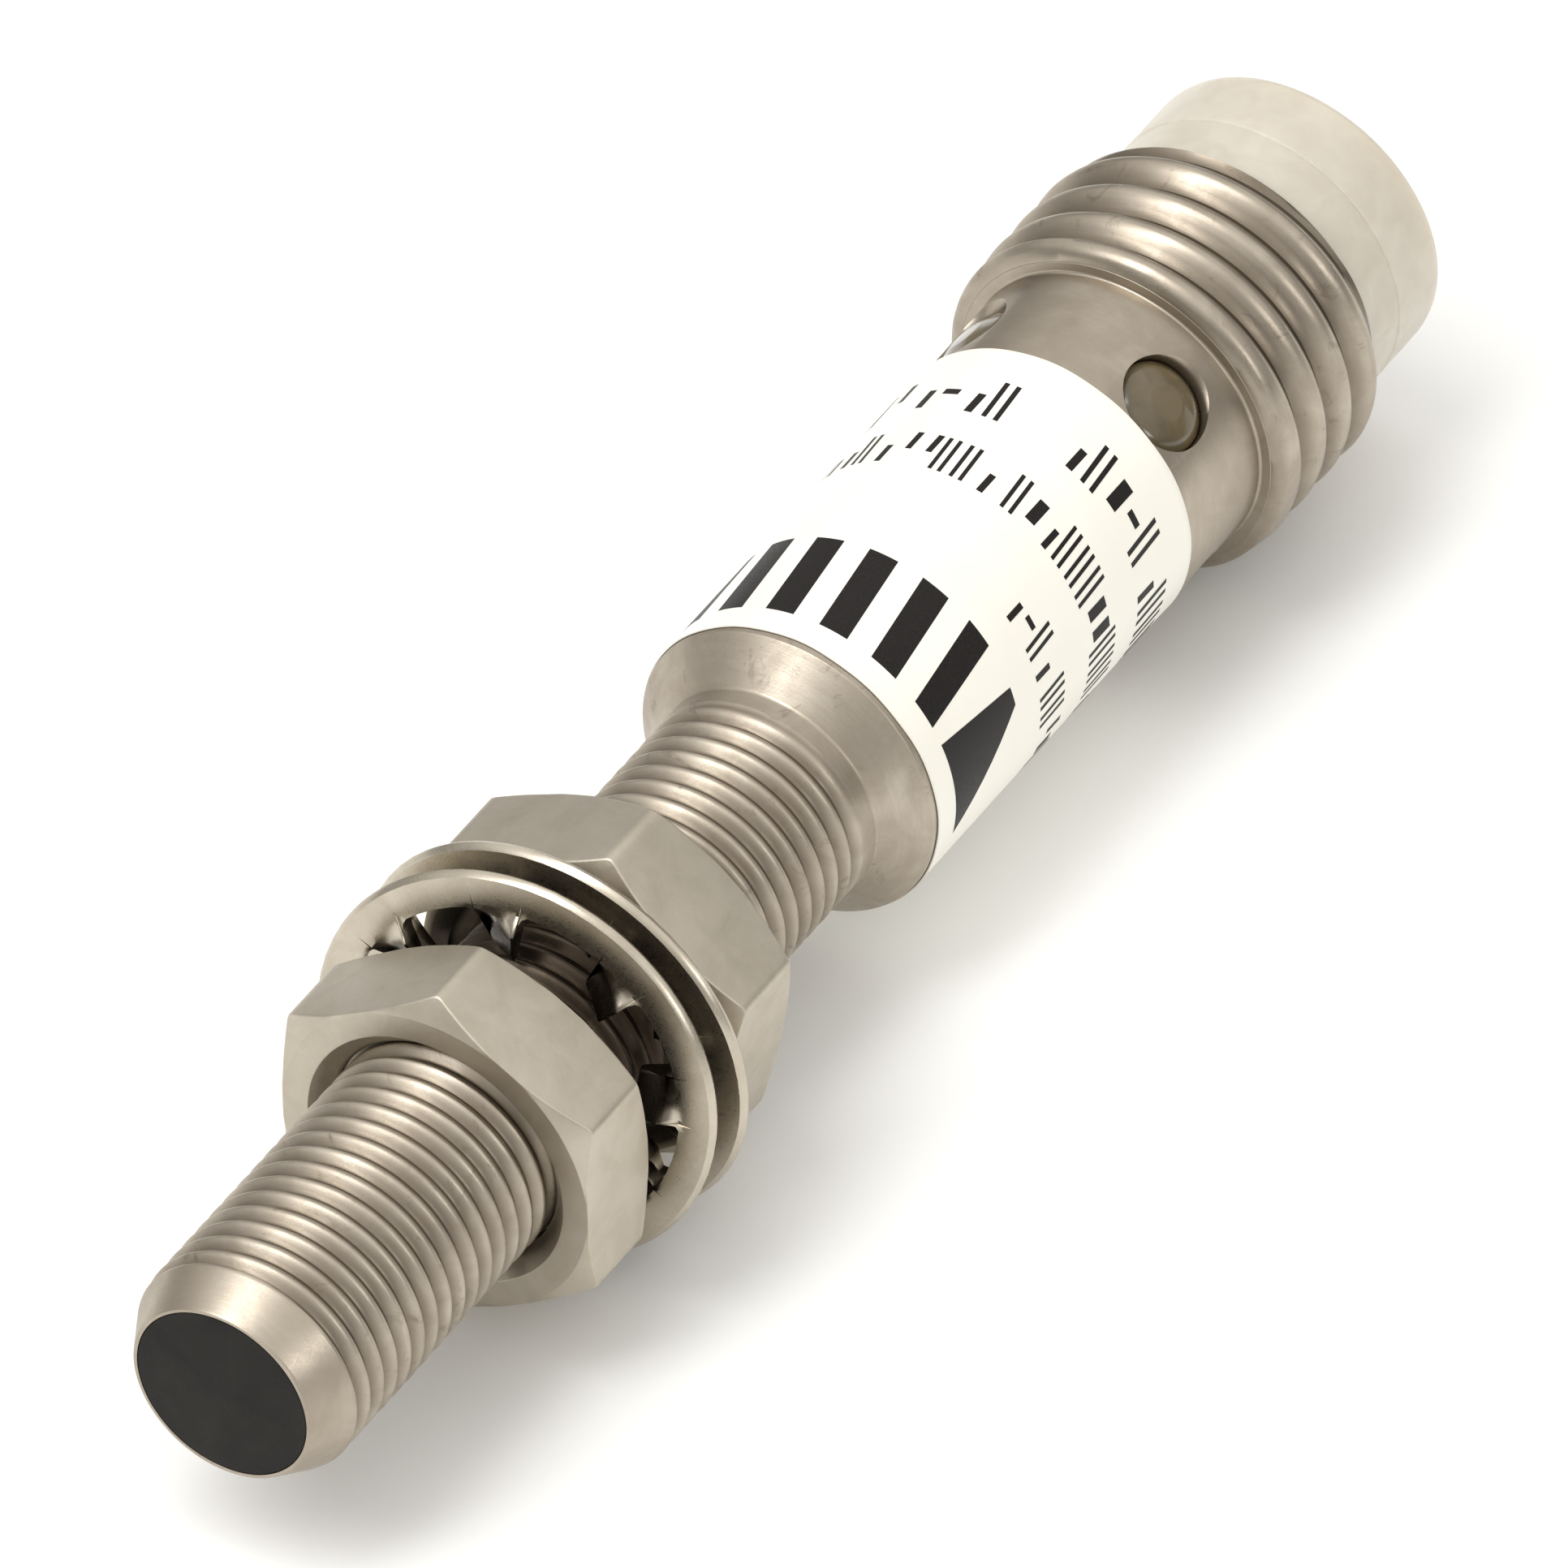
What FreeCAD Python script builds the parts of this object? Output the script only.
import FreeCAD, Part
import math
import os

# Inductive proximity sensor with a fine-thread barrel and a round plug-in connector.
# Millimetres. The sensor's axis is +Y. The sensing face is at y = 0 and looks along -Y.
# Angles named *_turn are measured about the axis, in degrees from +X towards +Z.

V = FreeCAD.Vector
ORIGIN = V(0, 0, 0)
AXIS = V(0, 1, 0)

# Barrel: M5 x 0.5 tube, conical shoulder and the front half of the body sleeve.
barrel_r = 2.49
barrel_bore_r = 1.93
face_rim_r = 2.0
nose_chamfer = 0.9
thread_end = 20.4
cone_end = 21.15
body_r = 3.37
body_bore_r = 2.9
bore_step = 22.2
sleeve_joint = 26.0

# Connector shell: spigot, body with the indicator windows, M8 x 1 collar and its socket.
spigot_front = 24.5
spigot_bore_r = 2.6
collar_front = 33.85
collar_end = 38.0
collar_r = 3.985
collar_edge = 0.3
socket_r = 3.1
socket_floor = 33.5
window_r = 1.02
window_y = 32.15
window_turn = 48.7
window_count = 4

# Label round the sleeve.
label_front = 21.2
label_end = 31.1
label_t = 0.05

# Sensing head, from the face inwards.
cap_t = 0.45
cap_skirt_end = 3.6
cap_skirt_t = 0.15
core_end = 3.0
core_post_r = 0.6
core_rim_t = 0.3
core_back_t = 0.6
shield_t = 0.1
shield_gap = 0.02
shield_back = 3.3
former_flange_t = 0.15
former_wall_t = 0.15
winding_gap = 0.03
play = 0.02
lead_r = 0.09
lead_x = 1.0
lead_slot_w = 0.24
lead_back = 4.7
lead_climb = 0.4
lead_tail = 0.5

# Circuit board: a narrow strip in the tube, wide in the sleeve.
board_t = 0.4
board_front = 4.5
board_narrow_w = 3.0
board_wide_front = 22.6
board_wide_w = 4.8
board_wide_end = 28.6
board_tongue_w = 3.9
board_end = 30.3
resin_front = 4.0
resin_end = 8.6

# Components on the board. Sizes are (along the axis, across the board, height above it). Places are
# (across, along the axis, side), where side 1 is the board's upper face and -1 its lower face.
chip_size = (3.0, 1.6, 0.8)
chip_y = 12.0
chip_leg_rows = 4
transistor_size = (2.6, 1.5, 0.9)
transistor_y = 24.6
transistor_leg_rows = 2
leg_size = (0.2, 0.3, 0.12)
diode_size = (1.2, 2.2, 0.9)
diode_y = 27.4
resistor_size = (1.0, 0.5, 0.35)
resistor_places = [
    (-0.8, 9.4, 1), (0.8, 9.4, 1), (-0.8, 14.8, 1), (0.8, 14.8, 1), (0, 16.4, 1),
    (-1.8, 23.6, 1), (1.8, 23.6, 1), (-0.7, 18.6, -1), (0.7, 18.6, -1),
]
capacitor_size = (1.0, 0.55, 0.55)
capacitor_places = [
    (0, 18.4, 1), (0, 20.2, 1), (-1.8, 25.6, 1), (1.8, 25.6, 1), (0, 12.0, -1), (0, 15.0, -1),
]
led_size = (0.5, 0.45, 1.2)
led_x = 1.7
led_y = 30.0

# Connector insert, contacts and the socket's seal.
insert_nose_r = 1.85
insert_nose_front = 31.2
insert_back = 34.9
contact_r = 0.5
contact_tip = 37.4
contact_circle_r = 1.75
contact_spread = 30.0
tail_r = 0.22
tail_front = 29.3
tail_x = 1.0
pad_size = (0.7, 0.8, 0.08)
solder_size = (0.5, 0.66, 0.28)
solder_y = 29.7
link_front = 33.9
link_back = 34.3
link_w = 0.5
key_r = 0.4
key_centre_r = 2.35
key_end = 35.8
seal_y = 34.45
seal_groove = 0.4
seal_r = 0.19

# Light guide ring with one boss in each window.
guide_front = 30.95
guide_end = 33.35
guide_inner_r = 1.9
guide_outer_r = 2.57
boss_r = 0.98
boss_root_r = 2.1
boss_top_r = 3.22

# Nuts and toothed washers on the barrel thread.
nut_flats = 7.0
nut_t = 2.25
nut_bore_r = 2.52
nut_countersink_r = 2.95
nut_chamfer_r = 3.5
nut_chamfer_angle = 30.0
front_nut_y = 7.85
front_nut_turn = 61.2
rear_nut_y = 13.05
rear_nut_turn = 50.4
washer_r = 4.4
washer_t = 0.36
washer_band = 0.75
washer_bore_r = 2.66
tooth_count = 8
tooth_w = 0.95
tooth_t = 0.26
tooth_root = 0.15
tooth_twist = 32.0
front_washer_y = 11.0
front_washer_tilt = 8.0
front_washer_lean_turn = 59.7
front_washer_shift = 0.07
rear_washer_y = 12.37
front_washer_turn = 9.0
rear_washer_turn = 31.5

# Push-in protective cap over the connector.
cap_head_r = 3.43
cap_step_r = 3.39
cap_step_y = 39.3
cap_end = 41.0
cap_edge = 0.35
cap_edge_mid = 0.105
cap_plug_r = 3.07
cap_plug_bore_r = 2.75
cap_plug_front = 36.05
cap_hollow_end = 39.9

# Worked out from the values above.
head_front = cap_t + play
skirt_bore_r = barrel_bore_r - cap_skirt_t
shield_r = skirt_bore_r - play
core_r = shield_r - shield_t - shield_gap
winding_room_r = core_r - core_rim_t
core_back = core_end - core_back_t
former_front = head_front + play
former_back = core_back - play
former_hub_r = core_post_r + play + former_wall_t
former_flange_r = winding_room_r - play
board_turn = window_turn - 45.0
pad_t = pad_size[2]
flange_r = socket_r - play
nut_corner_r = nut_flats / 2 / math.cos(math.radians(30.0))
nut_stock_r = nut_corner_r + 0.1
washer_inner_r = washer_r - washer_band

# How far a cutting shape runs past what it cuts.
over = 0.1


def revolved(points):
    """Solid of revolution about the axis from (radius, y) points."""
    outline = Part.makePolygon([V(r, y, 0) for r, y in points + points[:1]])
    return Part.Face(outline).revolve(ORIGIN, AXIS, 360)


def tube(r_out, r_in, y0, y1):
    return revolved([(r_in, y0), (r_out, y0), (r_out, y1), (r_in, y1)])


def disc(r, y0, y1):
    return Part.makeCylinder(r, y1 - y0, V(0, y0, 0), AXIS)


def turned(shape, turn):
    """The shape turned about the axis, from +X towards +Z."""
    moved = shape.copy()
    moved.rotate(ORIGIN, V(0, -1, 0), turn)
    return moved


def radial_rod(r, r0, r1, y, turn):
    """A rod that points away from the axis, from radius r0 to r1."""
    return turned(Part.makeCylinder(r, r1 - r0, V(r0, y, 0), V(1, 0, 0)), turn)


def block(x0, x1, y0, y1, z0, z1):
    return Part.makeBox(x1 - x0, y1 - y0, z1 - z0, V(x0, y0, z0))


def on_board(shape):
    """Parts on the board are drawn with the board level, then turned to suit the windows."""
    return turned(shape, board_turn)


def barrel():
    return revolved([
        (barrel_bore_r, 0), (face_rim_r, 0), (barrel_r, nose_chamfer), (barrel_r, thread_end),
        (body_r, cone_end), (body_r, sleeve_joint), (body_bore_r, sleeve_joint),
        (body_bore_r, bore_step), (barrel_bore_r, bore_step),
    ])


def connector_shell():
    shell = revolved([
        (spigot_bore_r, spigot_front), (body_bore_r, spigot_front), (body_bore_r, sleeve_joint),
        (body_r, sleeve_joint), (body_r, collar_front), (collar_r - collar_edge / 2, collar_front),
        (collar_r, collar_front + collar_edge / 2), (collar_r, collar_end - collar_edge),
        (collar_r - collar_edge, collar_end), (socket_r, collar_end), (socket_r, socket_floor),
        (spigot_bore_r, socket_floor),
    ])
    for n in range(window_count):
        turn = window_turn + n * 360.0 / window_count
        shell = shell.cut(radial_rod(window_r, guide_inner_r, collar_r, window_y, turn))
    return shell


def label():
    return tube(body_r + label_t, body_r, label_front, label_end)


def sensing_cap():
    return revolved([
        (0, 0), (barrel_bore_r, 0), (barrel_bore_r, cap_skirt_end), (skirt_bore_r, cap_skirt_end),
        (skirt_bore_r, cap_t), (0, cap_t),
    ])


def shield_ring():
    return tube(shield_r, shield_r - shield_t, head_front, shield_back)


def lead_slots(y0, y1):
    """Cutter for the two square slots that let the winding's ends out."""
    half_w = lead_slot_w / 2
    slots = [block(x - half_w, x + half_w, y0, y1, -half_w, half_w) for x in (-lead_x, lead_x)]
    return Part.makeCompound(slots)


def ferrite_core():
    core = revolved([
        (0, head_front), (core_post_r, head_front), (core_post_r, core_back),
        (winding_room_r, core_back), (winding_room_r, head_front), (core_r, head_front),
        (core_r, core_end), (0, core_end),
    ])
    return core.cut(lead_slots(core_back - over, core_end + over))


def coil_former():
    hub_bore_r = core_post_r + play
    flange_back = former_back - former_flange_t
    former = revolved([
        (hub_bore_r, former_front), (former_flange_r, former_front),
        (former_flange_r, former_front + former_flange_t), (former_hub_r, former_front + former_flange_t),
        (former_hub_r, flange_back), (former_flange_r, flange_back), (former_flange_r, former_back),
        (hub_bore_r, former_back),
    ])
    return former.cut(lead_slots(flange_back - over / 2, core_back))


def coil_winding():
    front = former_front + former_flange_t
    back = former_back - former_flange_t
    return tube(former_flange_r - winding_gap, former_hub_r, front, back)


def coil_leads():
    """The winding's two ends: straight out of the core, then up and along the board."""
    lead_front = former_back - former_flange_t
    bend_y = lead_back - lead_climb
    rise = board_t / 2 + lead_r
    climb = V(0, lead_climb, rise)
    leads = []
    for x in (-lead_x, lead_x):
        run = Part.makeCylinder(lead_r, bend_y - lead_front, V(x, lead_front, 0), AXIS)
        bend = Part.makeCylinder(lead_r, climb.Length, V(x, bend_y, 0), climb)
        tail = Part.makeCylinder(lead_r, lead_tail, V(x, lead_back, rise), AXIS)
        lower_knee = Part.makeSphere(lead_r, V(x, bend_y, 0))
        upper_knee = Part.makeSphere(lead_r, V(x, lead_back, rise))
        wire = run.fuse([bend, tail, lower_knee, upper_knee]).removeSplitter()
        leads.append(on_board(wire))
    return Part.makeCompound(leads)


def board_strip(width, y0, y1):
    return block(-width / 2, width / 2, y0, y1, -board_t / 2, board_t / 2)


def circuit_board():
    strip = board_strip(board_narrow_w, board_front, board_wide_front)
    wide = board_strip(board_wide_w, board_wide_front, board_wide_end)
    tongue = board_strip(board_tongue_w, board_wide_end, board_end)
    return on_board(strip.fuse([wide, tongue]).removeSplitter())


def chip(x, y, size, side=1):
    """One component on the board: side 1 is the upper face, -1 the lower face."""
    length, width, height = size
    z = board_t / 2
    low, high = (z, z + height) if side > 0 else (-z - height, -z)
    return block(x - width / 2, x + width / 2, y - length / 2, y + length / 2, low, high)


def with_legs(y, size, rows):
    """A package on the board's upper face with gull-wing legs along its two long sides."""
    length, width, _ = size
    leg_x = (width + leg_size[1]) / 2
    legs = []
    for n in range(rows):
        leg_y = y + (n - (rows - 1) / 2.0) * length / rows
        legs += [chip(-leg_x, leg_y, leg_size), chip(leg_x, leg_y, leg_size)]
    return on_board(chip(0, y, size).fuse(legs).removeSplitter())


def chips(places, size):
    """Several equal components, in one compound."""
    return Part.makeCompound([on_board(chip(x, y, size, side)) for x, y, side in places])


def status_leds():
    """Four side-looking lamps, one beside each boss of the light guide."""
    places = [(x, led_y, side) for x in (-led_x, led_x) for side in (1, -1)]
    return chips(places, led_size)


def light_guide():
    ring = tube(guide_outer_r, guide_inner_r, guide_front, guide_end)
    bosses = []
    for n in range(window_count):
        turn = window_turn + n * 360.0 / window_count
        bosses.append(radial_rod(boss_r, boss_root_r, boss_top_r, window_y, turn))
    return ring.fuse(bosses)


def contact_places():
    """Where each contact stands, and where its tail meets the board, in the board's own turn."""
    low_x = contact_circle_r * math.cos(math.radians(contact_spread))
    low_z = -contact_circle_r * math.sin(math.radians(contact_spread))
    tail_z = board_t / 2 + pad_t + tail_r
    return {
        "contact_pin_1": ((low_x, low_z), (tail_x, -tail_z)),
        "contact_pin_3": ((-low_x, low_z), (-tail_x, -tail_z)),
        "contact_pin_4": ((0.0, contact_circle_r), (0.0, tail_z)),
    }


def contact_pin(place, tail):
    """A round pin with a domed tip, a flat link to the board and a wire tail soldered on it."""
    x, z = place
    end_x, end_z = tail
    shank = Part.makeCylinder(contact_r, contact_tip - contact_r - link_front, V(x, link_front, z), AXIS)
    tip = Part.makeSphere(contact_r, V(x, contact_tip - contact_r, z))
    wire = Part.makeCylinder(tail_r, link_back - tail_front, V(end_x, tail_front, end_z), AXIS)
    reach = V(x - end_x, 0, z - end_z)
    link = block(0, reach.Length, link_front, link_back, -link_w / 2, link_w / 2)
    link.rotate(ORIGIN, V(0, -1, 0), math.degrees(math.atan2(reach.z, reach.x)))
    link.translate(V(end_x, 0, end_z))
    return on_board(shank.fuse([tip, wire, link]).removeSplitter())


def contact_carrier(contacts):
    """Black insert that holds the contacts, with a groove for the seal and a key for the plug."""
    seal_floor_r = flange_r - seal_r * 2
    half_groove = seal_groove / 2
    insert = revolved([
        (0, insert_nose_front), (insert_nose_r, insert_nose_front), (insert_nose_r, socket_floor + play),
        (flange_r, socket_floor + play), (flange_r, seal_y - half_groove),
        (seal_floor_r, seal_y - half_groove), (seal_floor_r, seal_y + half_groove),
        (flange_r, seal_y + half_groove), (flange_r, insert_back), (0, insert_back),
    ])
    key = Part.makeCylinder(key_r, key_end - insert_back, V(0, insert_back, -key_centre_r), AXIS)
    return insert.fuse(on_board(key)).removeSplitter().cut(contacts)


def carrier_seal():
    return Part.makeTorus(flange_r - seal_r, seal_r, V(0, seal_y, 0), AXIS)


def solder_joints():
    """A pad and a solder fillet round each contact's tail."""
    joints = []
    for _, (x, z) in contact_places().values():
        side = 1 if z > 0 else -1
        pad = chip(x, solder_y, pad_size, side)
        fillet = chip(x, solder_y, solder_size, side)
        wire = Part.makeCylinder(tail_r, pad_size[0] * 2, V(x, tail_front, z), AXIS)
        joints.append(on_board(pad.fuse(fillet).removeSplitter().cut(wire)))
    return Part.makeCompound(joints)


def potting_resin(held):
    """Resin that fills the tube behind the coil, with the board and the leads cast in it."""
    return disc(barrel_bore_r - play, resin_front, resin_end).cut(held)


def nut(y0, turn):
    """Hexagon nut with both rims chamfered and both mouths of its thread countersunk."""
    turns = [math.radians(30 + 60 * n) for n in range(7)]
    corners = [V(nut_corner_r * math.cos(a), y0, nut_corner_r * math.sin(a)) for a in turns]
    prism = Part.Face(Part.makePolygon(corners)).extrude(V(0, nut_t, 0))
    drop = (nut_stock_r - nut_chamfer_r) * math.tan(math.radians(nut_chamfer_angle))
    sink = nut_countersink_r - nut_bore_r
    y1 = y0 + nut_t
    rims = revolved([
        (nut_countersink_r, y0), (nut_chamfer_r, y0), (nut_stock_r, y0 + drop), (nut_stock_r, y1 - drop),
        (nut_chamfer_r, y1), (nut_countersink_r, y1), (nut_bore_r, y1 - sink), (nut_bore_r, y0 + sink),
    ])
    return turned(prism.common(rims), turn - 60.0)


def toothed_washer():
    """Lock washer with twisted inner teeth, centred on the origin and square to the axis."""
    half_t = washer_t / 2
    root_r = washer_inner_r + tooth_root
    band = tube(washer_r, washer_inner_r, -half_t, half_t)
    blade = block(washer_bore_r - over, root_r, -tooth_t / 2, tooth_t / 2, -tooth_w / 2, tooth_w / 2)
    blade.rotate(ORIGIN, V(1, 0, 0), tooth_twist)
    tooth = blade.common(tube(washer_r, washer_bore_r, -washer_r, washer_r))
    teeth = [turned(tooth, n * 360.0 / tooth_count) for n in range(tooth_count)]
    return band.fuse(teeth).removeSplitter()


def front_washer():
    """The front washer hangs askew on the barrel."""
    lean = math.radians(front_washer_lean_turn)
    side = V(-math.sin(lean), 0, math.cos(lean))
    washer = turned(toothed_washer(), front_washer_turn)
    washer.rotate(ORIGIN, side, front_washer_tilt)
    washer.translate(side * front_washer_shift + V(0, front_washer_y, 0))
    return washer


def rear_washer():
    washer = turned(toothed_washer(), rear_washer_turn)
    washer.translate(V(0, rear_washer_y, 0))
    return washer


def protective_cap():
    return revolved([
        (cap_plug_bore_r, cap_plug_front), (cap_plug_r, cap_plug_front), (cap_plug_r, collar_end),
        (cap_step_r, collar_end), (cap_step_r, cap_step_y), (cap_head_r, cap_step_y),
        (cap_head_r, cap_end - cap_edge), (cap_head_r - cap_edge_mid, cap_end - cap_edge_mid),
        (cap_head_r - cap_edge, cap_end), (0, cap_end), (0, cap_hollow_end),
        (cap_plug_bore_r, cap_hollow_end),
    ])


def build():
    contacts = {name: contact_pin(place, tail) for name, (place, tail) in contact_places().items()}
    leads = coil_leads()
    board = circuit_board()
    parts = {
        "barrel": barrel(),
        "connector_shell": connector_shell(),
        "label": label(),
        "sensing_cap": sensing_cap(),
        "shield_ring": shield_ring(),
        "ferrite_core": ferrite_core(),
        "coil_former": coil_former(),
        "coil_winding": coil_winding(),
        "coil_leads": leads,
        "circuit_board": board,
        "control_chip": with_legs(chip_y, chip_size, chip_leg_rows),
        "output_transistor": with_legs(transistor_y, transistor_size, transistor_leg_rows),
        "protection_diode": on_board(chip(0, diode_y, diode_size)),
        "chip_resistors": chips(resistor_places, resistor_size),
        "chip_capacitors": chips(capacitor_places, capacitor_size),
        "status_leds": status_leds(),
        "light_guide": light_guide(),
        "contact_carrier": contact_carrier(list(contacts.values())),
        "carrier_seal": carrier_seal(),
        "solder_joints": solder_joints(),
        "potting_resin": potting_resin([leads, board]),
        "front_nut": nut(front_nut_y, front_nut_turn),
        "rear_nut": nut(rear_nut_y, rear_nut_turn),
        "front_washer": front_washer(),
        "rear_washer": rear_washer(),
        "protective_cap": protective_cap(),
    }
    parts.update(contacts)
    return parts


os.makedirs("parts", exist_ok=True)
for name, shape in build().items():
    shape.exportStep(f"parts/{name}.step")
    print(f"{name:18s} solids {len(shape.Solids)} valid {shape.isValid()} volume {shape.Volume:.3f}")
